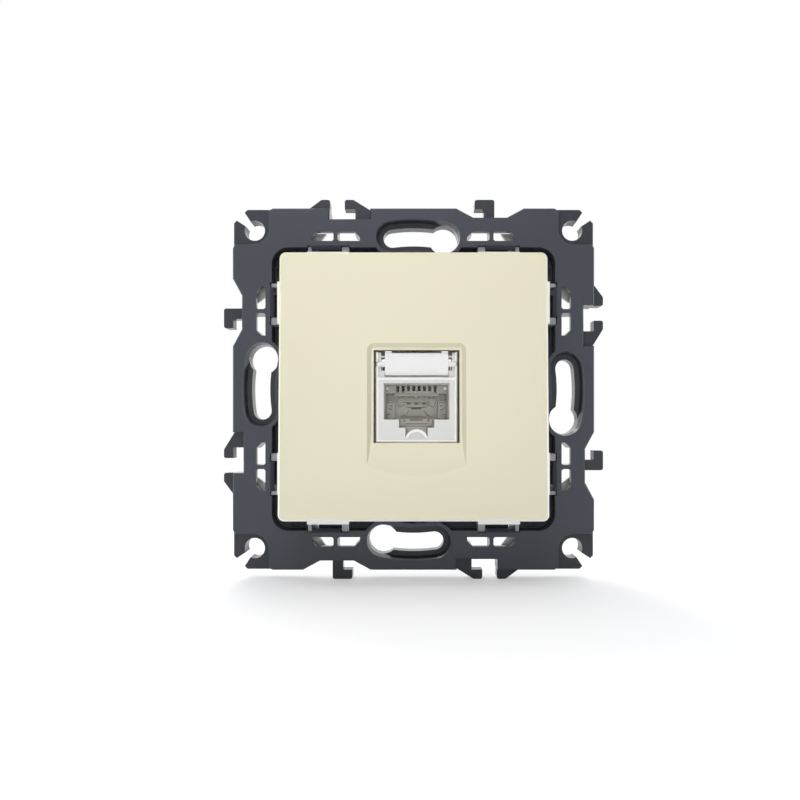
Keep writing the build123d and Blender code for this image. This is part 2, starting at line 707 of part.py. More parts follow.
with BuildPart() as jack_housing:
    with BuildSketch(Plane.XZ.offset(jack_back)):
        with Locations((jack_middle, (jack_top + jack_bottom) / 2)):
            Rectangle(jack_width, jack_top - jack_bottom)
    extrude(amount=jack_face - jack_back)
    with BuildSketch(Plane.XZ.offset(jack_back)):
        with Locations((jack_middle, (jack_top + bar_top) / 2)):
            Rectangle(2 * cheek_inner, jack_top - bar_top)
    extrude(amount=jack_face - jack_back, mode=Mode.SUBTRACT)
    with BuildSketch(Plane.XZ.offset(jack_back)):
        with Locations((jack_middle, (jack_top + bar_top) / 2)):
            Rectangle(jack_width, jack_top - bar_top)
    extrude(amount=cheek_back - jack_back, mode=Mode.SUBTRACT)
    chamfer(jack_housing.faces().sort_by(Axis.Y)[0].outer_wire().edges(), jack_edge_bevel)
    with BuildSketch(Plane.XZ.offset(jack_face)):
        with Locations((jack_middle, (bar_top + jack_bottom) / 2)):
            Rectangle(jack_width - 2 * face_border, bar_top - jack_bottom - 2 * face_border)
    extrude(amount=-face_sink, mode=Mode.SUBTRACT)
    with BuildSketch(Plane.XZ.offset(jack_face)):
        with Locations((jack_middle, (jack_top + bar_top) / 2)):
            Rectangle(jack_width - 2 * cheek_border, jack_top - bar_top)
    extrude(amount=-cheek_setback, mode=Mode.SUBTRACT)
    web_front = jack_face - cheek_setback
    web_inner = latch_width / 2 + web_clearance
    with BuildSketch(Plane.XZ.offset(cheek_back)):
        for side in (-1, 1):
            with Locations((jack_middle + side * (web_inner + cheek_inner) / 2, 0)):
                for web_bottom, web_top in ((bar_top, lower_web_top), (upper_web_bottom, upper_web_top)):
                    with Locations((0, (web_bottom + web_top) / 2)):
                        Rectangle(cheek_inner - web_inner, web_top - web_bottom)
    extrude(amount=web_front - cheek_back)
    with BuildSketch(Plane.XZ.offset(latch_back - web_clearance)):
        with Locations((jack_middle, bar_top)):
            Rectangle(2 * cheek_inner, 2 * stop_height)
    extrude(amount=-stop_thickness)
    with BuildSketch(Plane.XZ.offset(jack_back)):
        with Locations((jack_middle, (port_top + port_bottom) / 2)):
            Rectangle(port_width, port_top - port_bottom)
    extrude(amount=jack_face - jack_back, mode=Mode.SUBTRACT)
    with BuildSketch(Plane.XZ.offset(key_back)):
        with Locations((jack_middle, (port_bottom + key_bottom) / 2)):
            Rectangle(key_width, port_bottom - key_bottom)
        with Locations((jack_middle, (key_bottom + tongue_bottom) / 2)):
            Rectangle(tongue_width, key_bottom - tongue_bottom)
    extrude(amount=jack_face - key_back, mode=Mode.SUBTRACT)
    with BuildSketch(Plane.XZ.offset(jack_face - moon_setback - moon_thickness)):
        with Locations((jack_middle, jack_bottom + moon_foot)):
            Circle(moon_radius)
            Rectangle(4 * moon_radius, 2 * moon_radius, align=(Align.CENTER, Align.MAX), mode=Mode.SUBTRACT)
    extrude(amount=moon_thickness)
    with BuildSketch(Plane.XZ.offset(jack_face - moon_setback)):
        with Locations((jack_middle, jack_bottom + moon_foot)):
            Circle(moon_radius - moon_rim)
            Rectangle(4 * moon_radius, 2 * moon_radius, align=(Align.CENTER, Align.MAX), mode=Mode.SUBTRACT)
    extrude(amount=-moon_sink, mode=Mode.SUBTRACT)
    with BuildSketch(Plane.XZ.offset(jack_face - face_sink)):
        with Locations((jack_middle, jack_bottom + moon_foot / 2)):
            Rectangle(foot_width, moon_foot)
    extrude(amount=-moon_thickness)
    with BuildSketch(Plane.YZ.offset(jack_middle - jack_half)):
        with Locations((-pivot_depth, pivot_height)):
            Circle(pin_diameter / 2 + pin_clearance)
            Rectangle(jack_face - pivot_depth + 1, pin_snap_width, align=(Align.MAX, Align.CENTER))
    extrude(amount=jack_width, mode=Mode.SUBTRACT)
    with BuildSketch(Plane.YZ.offset(jack_middle - jack_half)):
        catch_gap = leg_clearance / 2
        for catch_start in (flange_back - catch_gap - catch_length, flange_front + catch_gap):
            Polygon(
                (-catch_start, jack_bottom + catch_height),
                (-catch_start, jack_bottom - catch_height),
                (-catch_start - catch_length, jack_bottom - catch_height),
                (-catch_start - catch_length, jack_bottom + catch_height),
                align=None,
            )
    extrude(amount=jack_width)
jack_housing.part.label = "jack_housing"
export_step(jack_housing.part, "parts/jack_housing.step")

# Rocker latch: the flap, its two pins, and the tail that hooks behind the carrier.
with BuildPart() as jack_latch:
    with BuildSketch(Plane.YZ.offset(jack_middle - latch_width / 2)):
        Polygon(
            (-latch_back, latch_bottom),
            (-latch_front + latch_bevel, latch_bottom),
            (-latch_front, latch_bottom + latch_bevel),
            (-latch_front, latch_top - latch_bevel / 2),
            (-latch_front + latch_bevel / 2, latch_top),
            (-latch_back, latch_top),
            align=None,
        )
    extrude(amount=latch_width)
    with BuildSketch(Plane.XZ.offset(latch_front)):
        field_bottom = latch_bottom + latch_bevel + latch_field_border / 2
        field_top = latch_top - latch_field_border
        with Locations((jack_middle, (field_bottom + field_top) / 2)):
            Rectangle(latch_width - 2 * latch_field_border, field_top - field_bottom)
    extrude(amount=-latch_field_sink, mode=Mode.SUBTRACT)
    with BuildSketch(Plane.XZ.offset(latch_back)):
        bump_offset = (latch_width - latch_bump_width) / 2
        with Locations((jack_middle - bump_offset, latch_top), (jack_middle + bump_offset, latch_top)):
            Rectangle(latch_bump_width, 2 * latch_bump_height)
    extrude(amount=latch_thickness - latch_bevel)
    with BuildSketch(Plane.YZ.offset(jack_middle - jack_half + pin_end_gap)):
        with Locations((-pivot_depth, pivot_height)):
            Circle(pin_diameter / 2)
    extrude(amount=jack_width - 2 * pin_end_gap)
    with BuildSketch(Plane.YZ.offset(jack_middle - tail_width / 2)):
        hook_front = flange_back - hook_gap
        tail_end = hook_front - hook_length
        tail_top = tail_bottom + tail_thickness
        Polygon(
            (-latch_back - 0.5, tail_bottom),
            (-tail_end, tail_bottom),
            (-tail_end, tail_top),
            (-hook_front + 0.4, hook_top),
            (-hook_front, hook_top),
            (-hook_front, tail_top),
            (-latch_back - 0.5, tail_top),
            align=None,
        )
    extrude(amount=tail_width)
jack_latch.part.label = "jack_latch"
export_step(jack_latch.part, "parts/jack_latch.step")

# Contact insert: back block, side bars, the comb that spaces the contact wires,
# two side posts, and the toe that closes the back of the key way.
wire_hole_width = wire_width + 2 * wire_clearance
wire_hole_height = wire_thickness + 2 * wire_clearance

with BuildPart() as contact_insert:
    insert_width = port_width - 2 * insert_clearance
    insert_top = port_top - insert_clearance
    insert_bottom = port_bottom + insert_clearance
    side_bar_offset = (insert_width - side_bar_width) / 2
    post_offset = (insert_width - post_width) / 2
    comb_back = comb_front - comb_depth
    with BuildSketch(Plane.XZ.offset(jack_back)):
        with Locations((jack_middle, (insert_top + insert_bottom) / 2)):
            Rectangle(insert_width, insert_top - insert_bottom)
    extrude(amount=insert_front - jack_back)
    with BuildSketch(Plane.XZ.offset(insert_front)):
        for side in (-1, 1):
            with Locations((jack_middle + side * side_bar_offset, (insert_top + comb_bottom) / 2)):
                Rectangle(side_bar_width, insert_top - comb_bottom)
    extrude(amount=comb_back - insert_front)
    with BuildSketch(Plane.XZ.offset(comb_back)):
        with Locations((jack_middle, (insert_top + comb_bottom) / 2)):
            Rectangle(insert_width, insert_top - comb_bottom)
        slot_top = insert_top - comb_roof
        with Locations(*[(place, slot_top) for place in contact_places]):
            Rectangle(
                comb_slot,
                2 * (slot_top - comb_bottom),
                align=(Align.CENTER, Align.MAX),
                mode=Mode.SUBTRACT,
            )
    extrude(amount=comb_depth)
    with BuildSketch(Plane.XZ.offset(insert_front)):
        for side in (-1, 1):
            post_round = post_width / 2
            with Locations((jack_middle + side * post_offset, post_bottom + post_round)):
                Circle(post_round)
            with Locations((jack_middle + side * post_offset, (post_top + post_bottom + post_round) / 2)):
                Rectangle(post_width, post_top - post_bottom - post_round)
    extrude(amount=post_depth)
    toe_width = key_width - 2 * insert_clearance
    toe_back = key_back + insert_clearance
    toe_front = toe_back + toe_thickness
    toe_bottom = key_bottom + insert_clearance
    with BuildSketch(Plane.YZ.offset(jack_middle - toe_width / 2)):
        Polygon(
            (0, insert_bottom),
            (-toe_back, insert_bottom),
            (-toe_back, toe_bottom),
            (-toe_front, toe_bottom),
            (-toe_front, toe_top - toe_slope),
            (-toe_back, toe_top),
            (0, toe_top),
            align=None,
        )
    extrude(amount=toe_width)
    with BuildSketch(Plane.XZ.offset(toe_back)):
        toe_tip = tongue_bottom + insert_clearance
        with Locations((jack_middle, (toe_tip + toe_bottom) / 2)):
            Rectangle(tongue_width - 2 * insert_clearance, toe_bottom - toe_tip)
    extrude(amount=toe_thickness)
    with BuildSketch(Plane.XZ.offset(jack_back)):
        with Locations(*[(place, wire_height) for place in contact_places]):
            Rectangle(wire_hole_width, wire_hole_height)
    extrude(amount=insert_front - jack_back, mode=Mode.SUBTRACT)
contact_insert.part.label = "contact_insert"
export_step(contact_insert.part, "parts/contact_insert.step")

# Contact wires: each comes forward from the board, turns at the comb and slopes back down.
for number, place in enumerate(contact_places, start=1):
    with BuildPart() as contact_wire:
        with BuildLine(Plane.YZ.offset(place)):
            FilletPolyline(
                (wire_end_behind - board_back, wire_height),
                (-wire_apex, wire_height),
                (-wire_tail_depth, wire_tail_height),
                radius=wire_bend,
            )
        with BuildSketch(Plane.XZ.offset(board_back - wire_end_behind)):
            with Locations((place, wire_height)):
                Rectangle(wire_width, wire_thickness)
        sweep()
    contact_wire.part.label = f"contact_wire_{number}"
    export_step(contact_wire.part, f"parts/contact_wire_{number}.step")

# Circuit board behind the housing, with holes for the wires and the punch-down contacts
block_width = jack_width - 2 * block_side_margin
block_bottom = jack_bottom + block_side_margin
block_height = board_top - block_bottom
block_middle = (board_top + block_bottom) / 2
blade_seat = board_back - block_base
blade_hole = blade_thickness + 2 * blade_clearance
blade_places = [
    (jack_middle + side * tower_offset, height) for side in (-1, 1) for height in slot_heights
]

with BuildPart() as circuit_board:
    with BuildSketch(Plane.XZ.offset(board_back)):
        with Locations((jack_middle, block_middle)):
            Rectangle(jack_width - 2 * board_side_margin, block_height)
        with Locations(*[(place, wire_height) for place in contact_places]):
            Rectangle(wire_hole_width, wire_hole_height, mode=Mode.SUBTRACT)
        with Locations(*blade_places):
            Rectangle(blade_hole, blade_pin_width + 2 * blade_clearance, mode=Mode.SUBTRACT)
    extrude(amount=board_thickness)
circuit_board.part.label = "circuit_board"
export_step(circuit_board.part, "parts/circuit_board.step")

# Punch-down block: two towers with four wire slots each
with BuildPart() as punch_block:
    with BuildSketch(Plane.XZ.offset(blade_seat)):
        with Locations((jack_middle, block_middle)):
            Rectangle(block_width, block_height)
    extrude(amount=block_base)
    with BuildSketch(Plane.XZ.offset(block_back)):
        with Locations((jack_middle - tower_offset, block_middle), (jack_middle + tower_offset, block_middle)):
            Rectangle(tower_width, block_height)
    extrude(amount=tower_depth)
    with BuildSketch(Plane.XZ.offset(block_back)):
        with Locations(*blade_places):
            Rectangle(tower_width + 1, wire_slot_width)
    extrude(amount=wire_slot_depth, mode=Mode.SUBTRACT)
    with BuildSketch(Plane.XZ.offset(block_back)):
        with Locations(*blade_places):
            Rectangle(blade_hole, blade_width + 2 * blade_clearance)
    extrude(amount=tower_depth, mode=Mode.SUBTRACT)
    with BuildSketch(Plane.XZ.offset(blade_seat)):
        with Locations(*blade_places):
            Rectangle(blade_hole, blade_pin_width + 2 * blade_clearance)
    extrude(amount=block_base, mode=Mode.SUBTRACT)
    with BuildSketch(Plane.XZ.offset(board_back - solder_relief)):
        with Locations((jack_middle, wire_height)):
            Rectangle((contact_count + 1) * contact_pitch, 2 * contact_pitch)
    extrude(amount=solder_relief, mode=Mode.SUBTRACT)
punch_block.part.label = "punch_block"
export_step(punch_block.part, "parts/punch_block.step")

# Punch-down contacts: a forked blade with a pin through the block into the board
for number, (place, height) in enumerate(blade_places, start=1):
    with BuildPart() as punch_contact:
        with BuildSketch(Plane.YZ.offset(place - blade_thickness / 2)):
            with Locations((-blade_seat + blade_length / 2, height)):
                Rectangle(blade_length, blade_width)
            with Locations((-blade_seat + blade_length, height)):
                Rectangle(2 * blade_slit_length, blade_slit, mode=Mode.SUBTRACT)
            with Locations((-blade_seat - (block_base + board_thickness * 0.8) / 2, height)):
                Rectangle(block_base + board_thickness * 0.8, blade_pin_width)
        extrude(amount=blade_thickness)
    punch_contact.part.label = f"punch_contact_{number}"
    export_step(punch_contact.part, f"parts/punch_contact_{number}.step")

# Wire caps: one clear cap presses over each tower
for cap_name, side in (("wire_cap_left", -1), ("wire_cap_right", 1)):
    with BuildPart() as wire_cap:
        cap_middle = jack_middle + side * tower_offset
        cap_inner_width = tower_width + 2 * cap_clearance
        cap_inner_height = block_height + 2 * cap_clearance
        with BuildSketch(Plane.XZ.offset(block_back - cap_roof)):
            with Locations((cap_middle, block_middle)):
                RectangleRounded(cap_inner_width + 2 * cap_wall, cap_inner_height + 2 * cap_wall, cap_wall)
        extrude(amount=cap_roof + cap_skirt)
        with BuildSketch(Plane.XZ.offset(block_back)):
            with Locations((cap_middle, block_middle)):
                Rectangle(cap_inner_width, cap_inner_height)
        extrude(amount=cap_skirt, mode=Mode.SUBTRACT)
        with BuildSketch(Plane.XZ.offset(block_back)):
            with Locations(*[(cap_middle, height) for height in slot_heights]):
                Rectangle(tower_width - 2 * cap_margin, wire_slot_width - 2 * cap_rib_clearance)
        extrude(amount=cap_rib_length)
    wire_cap.part.label = cap_name
    export_step(wire_cap.part, f"parts/{cap_name}.step")
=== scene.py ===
import json
from math import cos, radians, sin

import bpy
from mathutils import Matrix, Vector


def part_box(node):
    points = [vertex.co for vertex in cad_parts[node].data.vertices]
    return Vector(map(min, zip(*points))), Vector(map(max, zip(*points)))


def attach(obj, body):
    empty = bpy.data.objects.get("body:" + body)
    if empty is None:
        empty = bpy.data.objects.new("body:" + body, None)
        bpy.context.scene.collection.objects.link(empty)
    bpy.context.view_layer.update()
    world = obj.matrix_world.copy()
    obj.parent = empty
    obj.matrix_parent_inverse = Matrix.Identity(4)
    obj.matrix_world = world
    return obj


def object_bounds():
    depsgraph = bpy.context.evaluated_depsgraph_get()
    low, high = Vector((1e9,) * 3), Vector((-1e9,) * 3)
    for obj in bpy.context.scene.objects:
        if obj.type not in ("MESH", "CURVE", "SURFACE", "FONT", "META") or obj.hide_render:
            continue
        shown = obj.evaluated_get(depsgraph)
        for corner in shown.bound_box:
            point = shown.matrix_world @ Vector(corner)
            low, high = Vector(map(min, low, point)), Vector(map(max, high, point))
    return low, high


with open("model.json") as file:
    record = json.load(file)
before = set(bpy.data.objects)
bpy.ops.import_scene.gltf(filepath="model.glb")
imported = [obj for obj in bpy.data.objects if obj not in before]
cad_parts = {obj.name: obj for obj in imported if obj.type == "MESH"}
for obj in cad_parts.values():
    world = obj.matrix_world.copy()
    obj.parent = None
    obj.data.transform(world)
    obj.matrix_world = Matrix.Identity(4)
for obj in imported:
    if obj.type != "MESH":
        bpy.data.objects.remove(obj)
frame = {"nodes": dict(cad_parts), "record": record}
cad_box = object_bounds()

# Sizes are in metres, in the part's own frame: X right, Z up, and the front looks along -Y.
MM = 0.001
FLOOR_Z = cad_box[0][2]
FRAME_FRONT_Y = -4.0 * MM
WHITE = (1, 1, 1)

# Camera: the photograph's scale on the frame's front face, the pixel its axis meets,
# and how near and how far it sees
IMAGE_SIZE = 800
PIXELS_PER_MM = 5.1
CAMERA_DISTANCE = 110 * MM
AXIS_PIXEL_X = 413.5
AXIS_PIXEL_Y = 426.0
CAMERA_Z = -7.25 * MM
SENSOR_MM = 36.0
NEAREST_SEEN = 0.005
FARTHEST_SEEN = 20.0

# Dome: its brightness in front of and behind the socket, and where along Y it changes
FRONT_LIGHT = 0.15
BACK_LIGHT = 1.45
DOME_START = -0.35
DOME_END = 0.35

# Lamps: name, place, size, power and colour; each is turned toward the origin
LAMPS = (
    ("front_fill", (0.01, -0.45, 0.01), 0.20, 0.36, (1.0, 0.99, 0.97)),
    ("top_fill", (-0.03, -0.12, 0.16), 0.14, 0.195, (0.95, 0.975, 1.0)),
    ("back_key", (-0.20, 0.34, 0.42), 0.30, 1.15, WHITE),
    ("left_edge", (-0.36, 0.09, 0.05), 0.12, 0.35, WHITE),
    ("right_edge", (0.36, 0.09, 0.05), 0.12, 0.35, WHITE),
)

# Floor: its colour and gloss, the distances over which it fades to plain white for the camera,
# and how far toward white it already is under the socket, which lifts the socket's shadow as painted light
FLOOR_SIZE = 6.0
FLOOR_COLOUR = (0.91, 0.91, 0.93)
FLOOR_ROUGHNESS = 0.9
FLOOR_SPECULAR = 0.1
FADE_START = 0.07
FADE_END = 0.20
FLOOR_LIFT = 0.36

# Plastics: the broad change of colour, the grain and what it does to the gloss, and the coat
BROAD_SCALE = 60
BROAD_DETAIL = 3
GRAIN_DETAIL = 4
GLOSS_SPREAD = 0.06
COAT_ROUGHNESS = 0.15

# Side walls: how far forward a face looks where it stops being a wall, and where it is all front
WALL_END = 0.3
FRONT_START = 0.7

# Plate: how far a flat face and a full slope look forward, where its rim begins,
# and the heights between which the rim's bevel is painted white as a highlight
FLAT_FACING = 0.97
SLOPE_FACING = 0.85
RIM_REACH = 20.5 * MM
RIM_IVORY_Z = 24 * MM
RIM_HIGHLIGHT_Z = -18 * MM
RIM_HIGHLIGHT_COLOUR = (0.98, 0.98, 0.96)

# Drawn metal: fine lines along Y, and how far they lower and raise its roughness
LINE_SCALE = (6000, 400, 6000)
LINE_DETAIL = 2
METAL_SMOOTHER = 0.08
METAL_ROUGHER = 0.12

# Contact insert: the block behind the port's back wall in metres, and the grain of its plastic.
# The relief in the port is in mm, with depths before that wall; its dark sheets and lines are painted
# shade.
INSERT_BLOCK = 3.6 * MM
INSERT_GRAIN = 1500
PANEL_THICKNESS = 0.3
APRON_THICKNESS = 0.3
BRIDGE_THICKNESS = 0.1
SHADE_THICKNESS = 0.06
PIT_SHADE_THICKNESS = 0.05
POST_DEPTH = 1.6
TOE_DEPTH = 3.65
APRON_DEPTH = 5.35
COMB_DEPTH = 6.44
SHADE_LINE_DROP = 0.24
SHADE_LINE_BEAD = 0.07
BEAD_RESOLUTION = 2
RING_STEPS = 12
SIDES = ("right", "left")

scene = bpy.context.scene
scene.view_settings.view_transform = "Standard"


def add_camera():
    """A level camera in front of the socket, with the photograph's framing."""
    data = bpy.data.cameras.new("camera")
    focal_pixels = PIXELS_PER_MM * CAMERA_DISTANCE / MM
    data.sensor_width = SENSOR_MM
    data.lens = SENSOR_MM * focal_pixels / IMAGE_SIZE
    data.shift_x = (IMAGE_SIZE / 2 - AXIS_PIXEL_X) / IMAGE_SIZE
    data.shift_y = (AXIS_PIXEL_Y - IMAGE_SIZE / 2) / IMAGE_SIZE
    data.clip_start = NEAREST_SEEN
    data.clip_end = FARTHEST_SEEN
    camera = bpy.data.objects.new("camera", data)
    camera.location = (0, FRAME_FRONT_Y - CAMERA_DISTANCE, CAMERA_Z)
    camera.rotation_euler = (radians(90), 0, 0)
    scene.collection.objects.link(camera)
    scene.camera = camera


def add_lamp(name, location, size, power, colour):
    """A square soft light at location, turned toward the origin."""
    data = bpy.data.lights.new(name, "AREA")
    data.size = size
    data.energy = power
    data.color = colour
    lamp = bpy.data.objects.new(name, data)
    lamp.location = location
    lamp.rotation_euler = (-Vector(location)).to_track_quat("-Z", "Y").to_euler()
    scene.collection.objects.link(lamp)


def fill(links, socket, value):
    """Links an output to a socket, or sets the socket to a number or a colour."""
    if isinstance(value, bpy.types.NodeSocket):
        links.new(value, socket)
    else:
        socket.default_value = value


def math_step(nodes, links, operation, *values):
    """One arithmetic step on outputs or numbers."""
    node = nodes.new("ShaderNodeMath")
    node.operation = operation
    for socket, value in zip(node.inputs, values):
        fill(links, socket, value)
    return node.outputs[0]


def map_range(nodes, links, value, start, end, low=0.0, high=1.0, smooth=False):
    """A value taken from start and end to low and high, and held there beyond them."""
    node = nodes.new("ShaderNodeMapRange")
    if smooth:
        node.interpolation_type = "SMOOTHSTEP"
    settings = {"Value": value, "From Min": start, "From Max": end, "To Min": low, "To Max": high}
    for name, setting in settings.items():
        fill(links, node.inputs[name], setting)
    return node.outputs["Result"]


def mix_colours(nodes, links, factor, first, second):
    """A colour between two others."""
    node = nodes.new("ShaderNodeMix")
    node.data_type = "RGBA"
    for name, setting in (("Factor", factor), ("A", first), ("B", second)):
        fill(links, node.inputs[name], setting)
    return node.outputs["Result"]


def mix_shaders(nodes, links, factor, first, second):
    """A shader between two others."""
    node = nodes.new("ShaderNodeMixShader")
    for socket, output in zip(node.inputs, (factor, first, second)):
        links.new(output, socket)
    return node.outputs[0]


def axis(nodes, links, vector, name):
    """One axis of a vector."""
    node = nodes.new("ShaderNodeSeparateXYZ")
    links.new(vector, node.inputs[0])
    return node.outputs[name]


def camera_ray(nodes):
    """One where the camera itself looks, and zero for reflected and lighting rays."""
    return nodes.new("ShaderNodeLightPath").outputs["Is Camera Ray"]


def noise(nodes, links, vector, scale, detail):
    """A noise pattern on a vector."""
    node = nodes.new("ShaderNodeTexNoise")
    node.inputs["Scale"].default_value = scale
    node.inputs["Detail"].default_value = detail
    links.new(vector, node.inputs["Vector"])
    return node.outputs["Fac"]


def new_material(name):
    """A material, its nodes, its links and its main shader."""
    material = bpy.data.materials.new(name)
    material.use_nodes = True
    nodes, links = material.node_tree.nodes, material.node_tree.links
    return material, nodes, links, nodes["Principled BSDF"]


def add_world():
    """A pale dome, brighter behind the socket, and plain white where the camera looks past it."""
    world = bpy.data.worlds.new("studio")
    scene.world = world
    world.use_nodes = True
    nodes, links = world.node_tree.nodes, world.node_tree.links
    nodes.clear()
    direction = nodes.new("ShaderNodeTexCoord").outputs["Generated"]
    behind = axis(nodes, links, direction, "Y")
    ambient = nodes.new("ShaderNodeBackground")
    ambient.inputs["Color"].default_value = (*WHITE, 1)
    dome = map_range(nodes, links, behind, DOME_START, DOME_END, FRONT_LIGHT, BACK_LIGHT, smooth=True)
    links.new(dome, ambient.inputs["Strength"])
    backdrop = nodes.new("ShaderNodeBackground")
    backdrop.inputs["Color"].default_value = (*WHITE, 1)
    light = mix_shaders(nodes, links, camera_ray(nodes), ambient.outputs[0], backdrop.outputs[0])
    links.new(light, nodes.new("ShaderNodeOutputWorld").inputs[0])


def add_floor():
    """A white floor at the height of the frame's lowest hooks; further off it meets the backdrop."""
    bpy.ops.mesh.primitive_plane_add(size=FLOOR_SIZE, location=(0, 0, FLOOR_Z))
    floor = bpy.context.object
    floor.name = "floor"
    material, nodes, links, shader = new_material("floor_white")
    shader.inputs["Base Color"].default_value = (*FLOOR_COLOUR, 1)
    shader.inputs["Roughness"].default_value = FLOOR_ROUGHNESS
    shader.inputs["Specular IOR Level"].default_value = FLOOR_SPECULAR
    distance = nodes.new("ShaderNodeVectorMath")
    distance.operation = "DISTANCE"
    distance.inputs[1].default_value = (0, 0, FLOOR_Z)
    links.new(nodes.new("ShaderNodeNewGeometry").outputs["Position"], distance.inputs[0])
    # Under the socket the camera already sees it partly plain white, painted light that lightens the
    # socket's shadow.
    fade = map_range(
        nodes, links, distance.outputs["Value"], FADE_START, FADE_END, low=FLOOR_LIFT, smooth=True
    )
    seen = math_step(nodes, links, "MULTIPLY", fade, camera_ray(nodes))
    white = nodes.new("ShaderNodeEmission")
    white.inputs["Color"].default_value = (*WHITE, 1)
    surface = mix_shaders(nodes, links, seen, shader.outputs[0], white.outputs[0])
    links.new(surface, nodes["Material Output"].inputs["Surface"])
    floor.data.materials.append(material)


def facing_forward(nodes, links):
    """How far a face looks forward or back: one on a front, zero on a side wall."""
    normal = nodes.new("ShaderNodeNewGeometry").outputs["True Normal"]
    return math_step(nodes, links, "ABSOLUTE", axis(nodes, links, normal, "Y"))


def along_depth(nodes, links, place, stops):
    """A colour that changes from front to back, through stops of a place along Y in mm and a colour."""
    front = stops[0][0]
    length = stops[-1][0] - front
    depth = map_range(nodes, links, axis(nodes, links, place, "Y"), front * MM, stops[-1][0] * MM)
    ramp = nodes.new("ShaderNodeValToRGB")
    links.new(depth, ramp.inputs["Fac"])
    elements = ramp.color_ramp.elements
    while len(elements) < len(stops):
        elements.new(0.5)
    for element, (y, colour) in zip(elements, stops):
        element.position = (y - front) / length
        element.color = (*colour, 1)
    return ramp.outputs["Color"]


def along_slopes(nodes, links, place, colour, slope_shade):
    """The plate's colour, painted shade on the slopes round the jack, and a bevel painted white at the foot
    as a highlight.
    """
    forward = facing_forward(nodes, links)
    tilt = map_range(nodes, links, forward, FLAT_FACING, SLOPE_FACING)
    across = math_step(nodes, links, "ABSOLUTE", axis(nodes, links, place, "X"))
    height = axis(nodes, links, place, "Z")
    upright = math_step(nodes, links, "ABSOLUTE", height)
    reach = math_step(nodes, links, "MAXIMUM", across, upright)
    at_rim = math_step(nodes, links, "GREATER_THAN", reach, RIM_REACH)
    inside = math_step(nodes, links, "SUBTRACT", 1.0, at_rim)
    # The slopes get painted shade, and the rim's bevel a painted white highlight toward the foot.
    shaded_slope_mask = math_step(nodes, links, "MULTIPLY", tilt, inside)
    face = mix_colours(nodes, links, shaded_slope_mask, (*colour, 1), (*slope_shade, 1))
    not_wall = math_step(nodes, links, "GREATER_THAN", forward, WALL_END)
    bevel = math_step(nodes, links, "MULTIPLY", not_wall, math_step(nodes, links, "MULTIPLY", tilt, at_rim))
    low = map_range(nodes, links, height, RIM_IVORY_Z, RIM_HIGHLIGHT_Z)
    rim_highlight_mask = math_step(nodes, links, "MULTIPLY", bevel, low)
    return mix_colours(nodes, links, rim_highlight_mask, face, (*RIM_HIGHLIGHT_COLOUR, 1))


def smoother_walls(nodes, links, front_roughness, wall_roughness):
    """Keeps a roughness on faces that look forward or back, and another on the walls between."""
    forward = facing_forward(nodes, links)
    return map_range(nodes, links, forward, WALL_END, FRONT_START, wall_roughness, front_roughness)


def plastic(
    name, colour, *, shade, roughness, grain_scale, grain_height,
    coat=0.0, depths=None, wall_roughness=None, slope_shade=None,
):
    """Moulded plastic: a colour that varies slightly, with a fine grain in its gloss and relief.

    The shade is how bright its darkest patches are, as a share. Depths are stops of a colour that changes
    from front to back, which paints light and shade by depth. A wall roughness is for the side walls, and a
    slope shade paints shade on the slopes round the jack.
    """
    material, nodes, links, shader = new_material(name)
    place = nodes.new("ShaderNodeTexCoord").outputs["Object"]

    broad = noise(nodes, links, place, BROAD_SCALE, BROAD_DETAIL)
    tint = nodes.new("ShaderNodeVectorMath")
    tint.operation = "SCALE"
    tint.inputs[0].default_value = colour
    if depths is not None:
        links.new(along_depth(nodes, links, place, depths), tint.inputs[0])
    if slope_shade is not None:
        links.new(along_slopes(nodes, links, place, colour, slope_shade), tint.inputs[0])
    links.new(map_range(nodes, links, broad, 0.0, 1.0, 1.0, shade), tint.inputs["Scale"])
    links.new(tint.outputs["Vector"], shader.inputs["Base Color"])

    grain = noise(nodes, links, place, grain_scale, GRAIN_DETAIL)
    gloss = map_range(nodes, links, grain, 0.0, 1.0, roughness - GLOSS_SPREAD, roughness + GLOSS_SPREAD)
    if wall_roughness is not None:
        gloss = smoother_walls(nodes, links, gloss, wall_roughness)
    links.new(gloss, shader.inputs["Roughness"])

    relief = nodes.new("ShaderNodeBump")
    relief.inputs["Strength"].default_value = 1.0
    relief.inputs["Distance"].default_value = grain_height
    links.new(grain, relief.inputs["Height"])
    links.new(relief.outputs["Normal"], shader.inputs["Normal"])
    shader.inputs["Coat Weight"].default_value = coat
    shader.inputs["Coat Roughness"].default_value = COAT_ROUGHNESS
    return material


def metal(name, colour, roughness):
    """Plated spring metal with fine drawing lines in its gloss."""
    material, nodes, links, shader = new_material(name)
    shader.inputs["Base Color"].default_value = (*colour, 1)
    shader.inputs["Metallic"].default_value = 1.0
    stretch = nodes.new("ShaderNodeMapping")
    stretch.inputs["Scale"].default_value = LINE_SCALE
    links.new(nodes.new("ShaderNodeTexCoord").outputs["Object"], stretch.inputs["Vector"])
    lines = noise(nodes, links, stretch.outputs["Vector"], 1.0, LINE_DETAIL)
    gloss = map_range(nodes, links, lines, 0.0, 1.0, roughness - METAL_SMOOTHER, roughness + METAL_ROUGHER)
    links.new(gloss, shader.inputs["Roughness"])
    return material


def insert_face():
    """The middle of the port, and the place along Y of its back wall on the contact insert."""
    low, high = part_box("contact_insert")
    return (low[0] + high[0]) / 2, high[1] - INSERT_BLOCK


def add_curve(name, dimensions, loops, closed):
    """A curve object through loops of points in metres."""
    curve = bpy.data.curves.new(name, "CURVE")
    curve.dimensions = dimensions
    for loop in loops:
        spline = curve.splines.new("POLY")
        spline.points.add(len(loop) - 1)
        for point, place in zip(spline.points, loop):
            point.co = (*place, 1)
        spline.use_cyclic_u = closed
    curve_object = bpy.data.objects.new(name, curve)
    scene.collection.objects.link(curve_object)
    return curve_object


